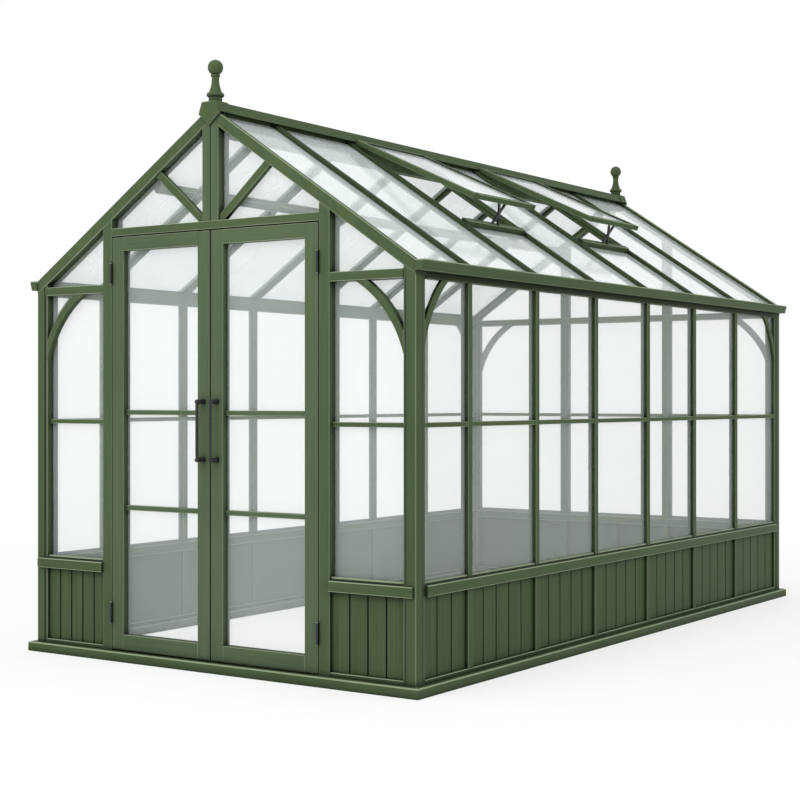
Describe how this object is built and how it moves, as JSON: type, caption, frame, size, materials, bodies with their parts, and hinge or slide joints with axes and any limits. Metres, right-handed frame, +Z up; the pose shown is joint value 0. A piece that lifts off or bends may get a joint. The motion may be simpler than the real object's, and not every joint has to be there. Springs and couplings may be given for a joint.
{
  "type": "glass greenhouse",
  "caption": "Gabled glass greenhouse with a green painted frame, boarded dwarf walls, hinged glazed doors, open roof vents, gutters and turned ridge finials.",
  "frame": {"origin": "on the ground, midway between the four walls", "axes": "+Z up; +Y along the ridge, away from the doors; +X to the right as you face the doors"},
  "size_m": [2.436, 4.388, 2.9073],
  "materials": {
    "frame_paint": "sage green powder coat, satin, fine grain",
    "board_paint": "sage green satin paint on close narrow boards",
    "glazing": "clear 4 mm toughened glass, polished",
    "hardware": "black satin powder coat on steel"
  },
  "bodies": {
    "greenhouse": {"apex_plates": "frame_paint", "back_mullions": "frame_paint", "bottom_rails": "frame_paint", "corner_brackets": "frame_paint", "corner_posts": "frame_paint", "door_posts": "frame_paint", "dwarf_wall_boards": "board_paint", "dwarf_wall_studs": "frame_paint", "eaves_beams": "frame_paint", "finials": "frame_paint", "frame_hinges": "hardware", "gable_glass": "glazing", "gable_rafters_left": "frame_paint", "gable_rafters_right": "frame_paint", "gable_rails": "frame_paint", "gable_struts": "frame_paint", "glazing_bars": "frame_paint", "gutters": "frame_paint", "king_post": "frame_paint", "plinth_ends": "frame_paint", "plinth_sides": "frame_paint", "ridge_board": "frame_paint", "ridge_cap": "frame_paint", "roof_bars": "frame_paint", "roof_glass": "glazing", "roof_purlin": "frame_paint", "side_wall_glass": "glazing", "sill_rails_ends": "frame_paint", "sill_rails_sides": "frame_paint", "vent_glass": "glazing", "vent_rails": "frame_paint", "vent_sills": "frame_paint", "vent_stays": "hardware", "vent_stiles": "frame_paint", "wall_transoms": "frame_paint"},
    "door_left": {"door_left_glass": "glazing", "door_left_handle": "hardware", "door_left_hinges": "hardware", "door_left_rails": "frame_paint", "door_left_stiles": "frame_paint"},
    "door_right": {"door_right_glass": "glazing", "door_right_handle": "hardware", "door_right_hinges": "hardware", "door_right_rails": "frame_paint", "door_right_stiles": "frame_paint"}
  },
  "joints": [
    {"name": "door_left_hinge", "type": "hinge", "parent": "greenhouse", "child": "door_left", "pos_m": [-0.6415, -2.158, 1.075], "axis": [0, 0, -1], "range_deg": [0, 110]},
    {"name": "door_right_hinge", "type": "hinge", "parent": "greenhouse", "child": "door_right", "pos_m": [0.6415, -2.158, 1.075], "axis": [0, 0, 1], "range_deg": [0, 110]}
  ]
}
